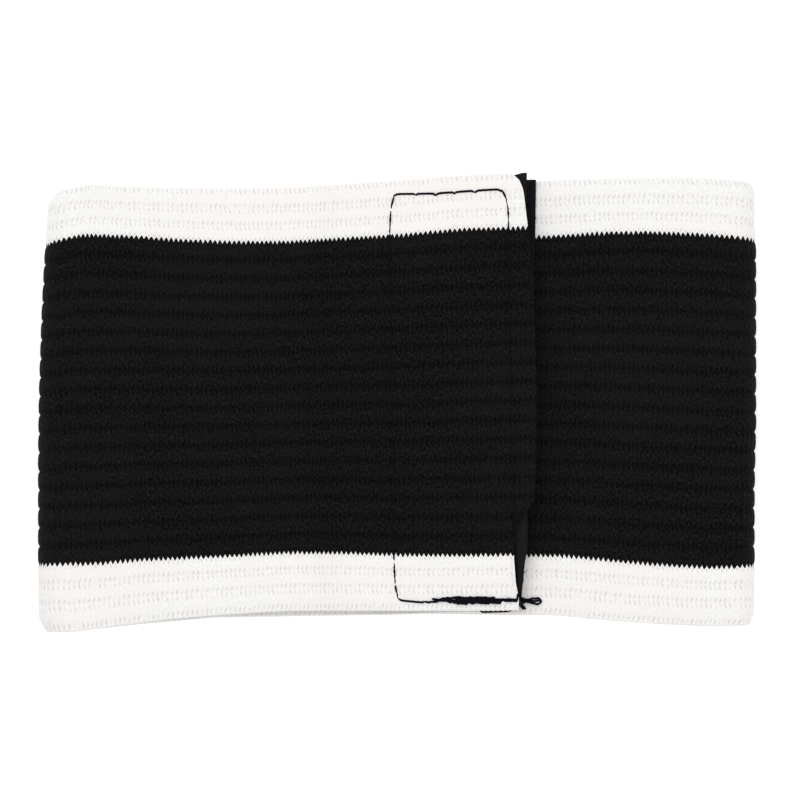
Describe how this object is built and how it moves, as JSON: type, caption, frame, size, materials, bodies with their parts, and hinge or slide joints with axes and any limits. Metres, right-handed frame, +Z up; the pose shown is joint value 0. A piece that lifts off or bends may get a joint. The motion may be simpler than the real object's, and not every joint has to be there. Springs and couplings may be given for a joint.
{
  "type": "adjustable elastic armband",
  "caption": "Wide ribbed elastic armband, black with white borders, lying flat and closed by hook-and-loop tape.",
  "frame": {"origin": "middle of the underside of the closed band lying flat", "axes": "+X along the flattened band towards the fold that the flap does not cover, +Y across the band, the way the arm goes through, +Z up, out of the flap"},
  "size_m": [0.1156, 0.0738, 0.0134],
  "materials": {
    "webbing_black": "ribbed woven elastic, matt with a faint sheen on the ribs",
    "webbing_white": "ribbed woven elastic, matt",
    "hook_tape": "woven nylon tape set with fine hooks",
    "loop_tape": "brushed nylon pile",
    "thread": "twisted polyester sewing thread"
  },
  "bodies": {
    "left_end": {"left_end_upper_border": "webbing_white", "left_end_centre": "webbing_black", "left_end_lower_border": "webbing_white", "back_stretch_upper_border": "webbing_white", "back_stretch_centre": "webbing_black", "back_stretch_lower_border": "webbing_white"},
    "fold_mid": {"fold_mid_upper_border": "webbing_white", "fold_mid_centre": "webbing_black", "fold_mid_lower_border": "webbing_white"},
    "flap_root": {"flap_root_upper_border": "webbing_white", "flap_root_centre": "webbing_black", "flap_root_lower_border": "webbing_white", "flap_stretch_upper_border": "webbing_white", "flap_stretch_centre": "webbing_black", "flap_stretch_lower_border": "webbing_white"},
    "flap_neck": {"flap_neck_upper_border": "webbing_white", "flap_neck_centre": "webbing_black", "flap_neck_lower_border": "webbing_white"},
    "flap_tip": {"flap_tip_upper_border": "webbing_white", "flap_tip_centre": "webbing_black", "flap_tip_lower_border": "webbing_white", "hook_tape": "hook_tape", "hook_stitching_face": "thread", "hook_stitching_back": "thread"},
    "right_end": {"right_end_upper_border": "webbing_white", "right_end_centre": "webbing_black", "right_end_lower_border": "webbing_white"},
    "under_root": {"under_root_upper_border": "webbing_white", "under_root_centre": "webbing_black", "under_root_lower_border": "webbing_white", "under_stretch_upper_border": "webbing_white", "under_stretch_centre": "webbing_black", "under_stretch_lower_border": "webbing_white"},
    "under_panel": {"under_panel_upper_border": "webbing_white", "under_panel_centre": "webbing_black", "under_panel_lower_border": "webbing_white", "loop_tape": "loop_tape", "loop_stitching_face": "thread", "loop_stitching_back": "thread"}
  },
  "joints": [
    {"name": "fold_open_lower", "type": "hinge", "parent": "left_end", "child": "fold_mid", "pos_m": [-0.05639, -0.0019, 0.00141], "axis": [0, -1, 0], "range_deg": [0, 70]},
    {"name": "fold_open_upper", "type": "hinge", "parent": "fold_mid", "child": "flap_root", "pos_m": [-0.05639, -0.0019, 0.00819], "axis": [0, -1, 0], "range_deg": [0, 70]},
    {"name": "stretch_back", "type": "slide", "parent": "left_end", "child": "right_end", "axis": [1, 0, 0], "range_m": [0, 0.03], "stiffness_N_per_m": 300, "deforming": ["back_stretch_upper_border", "back_stretch_centre", "back_stretch_lower_border"]},
    {"name": "stretch_flap", "type": "slide", "parent": "flap_root", "child": "flap_neck", "axis": [1, 0, 0], "range_m": [0, 0.018], "deforming": ["flap_stretch_upper_border", "flap_stretch_centre", "flap_stretch_lower_border"]},
    {"name": "tip_lift", "type": "hinge", "parent": "flap_neck", "child": "flap_tip", "pos_m": [-0.0062, 0.0012, 0.0129], "axis": [0, -1, 0], "range_deg": [0, 60]},
    {"name": "under_lift", "type": "hinge", "parent": "right_end", "child": "under_root", "pos_m": [0.0566, -0.0005, 0.007], "axis": [0, 1, 0], "range_deg": [0, 24.5]},
    {"name": "stretch_under", "type": "slide", "parent": "under_root", "child": "under_panel", "axis": [-1, 0, 0], "range_m": [0, 0.012], "deforming": ["under_stretch_upper_border", "under_stretch_centre", "under_stretch_lower_border"]}
  ],
  "couplings": [
    {"joint": "fold_open_upper", "follows": "fold_open_lower", "ratio": 1},
    {"joint": "under_lift", "follows": "fold_open_lower", "ratio": 0.35},
    {"joint": "stretch_flap", "follows": "stretch_back", "ratio": 0.6},
    {"joint": "stretch_under", "follows": "stretch_back", "ratio": 0.4}
  ]
}
